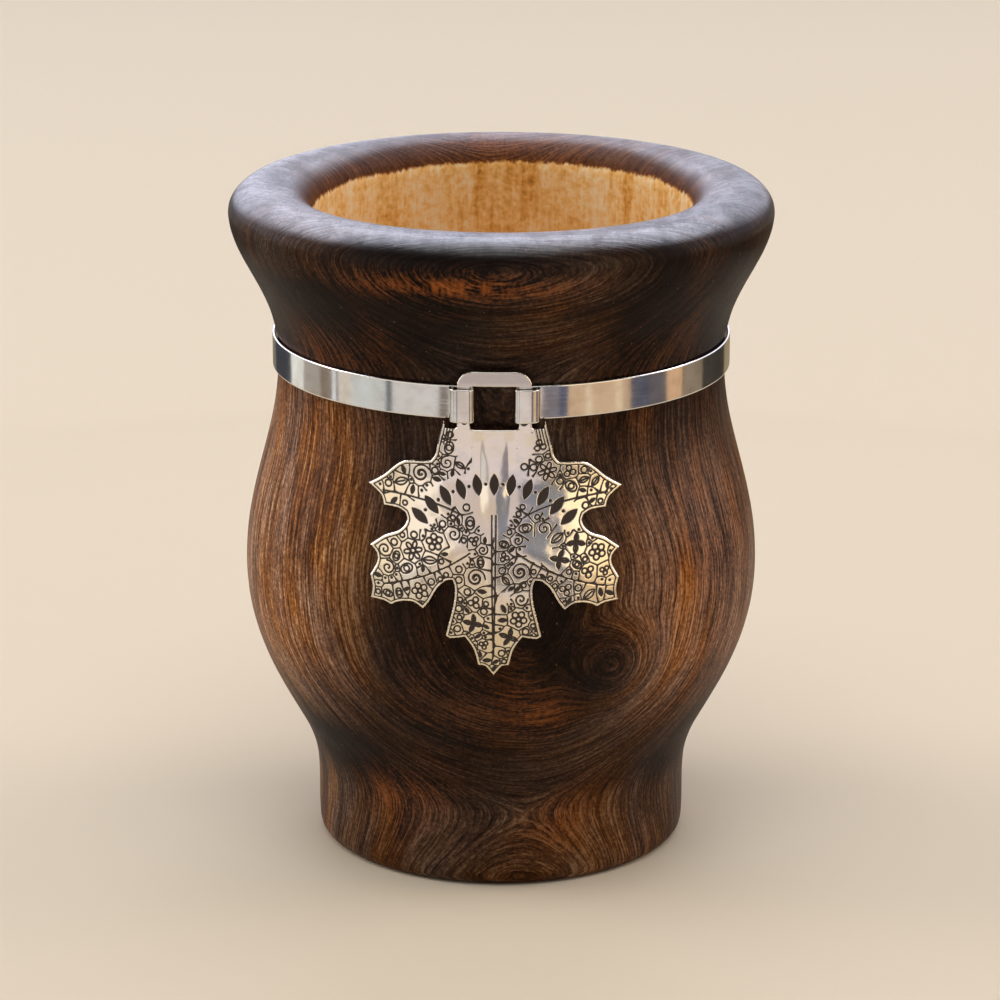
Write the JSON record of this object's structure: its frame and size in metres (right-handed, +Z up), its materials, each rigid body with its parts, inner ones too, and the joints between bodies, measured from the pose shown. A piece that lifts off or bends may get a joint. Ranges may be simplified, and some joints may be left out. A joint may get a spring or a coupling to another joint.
{
  "type": "wooden mate cup",
  "caption": "Turned wooden drinking cup with a flared rim and a deep cavity, a polished metal band round its waist and a leaf-shaped metal badge hanging from the band's rolled ends.",
  "frame": {"origin": "middle of the foot's flat face, on the surface that the cup stands on", "axes": "+Z up along the turning axis to the lip, -Y towards the badge at the front, +X to the right of someone who looks at the badge"},
  "size_m": [0.0838, 0.0838, 0.1045],
  "materials": {
    "stained_wood": "dark stained and satin lacquered outside and over the lip, natural pale wood inside the cavity",
    "band_metal": "polished nickel silver strip",
    "badge_metal": "pressed and polished sheet with blackened engraving"
  },
  "bodies": {
    "cup": {"wooden_body": "stained_wood", "neck_band": "band_metal"},
    "badge": {"leaf_badge": "badge_metal"}
  },
  "joints": [
    {"name": "badge_lift", "type": "slide", "parent": "cup", "child": "badge", "axis": [0, 0, 1], "range_m": [0, 0.0008]}
  ]
}
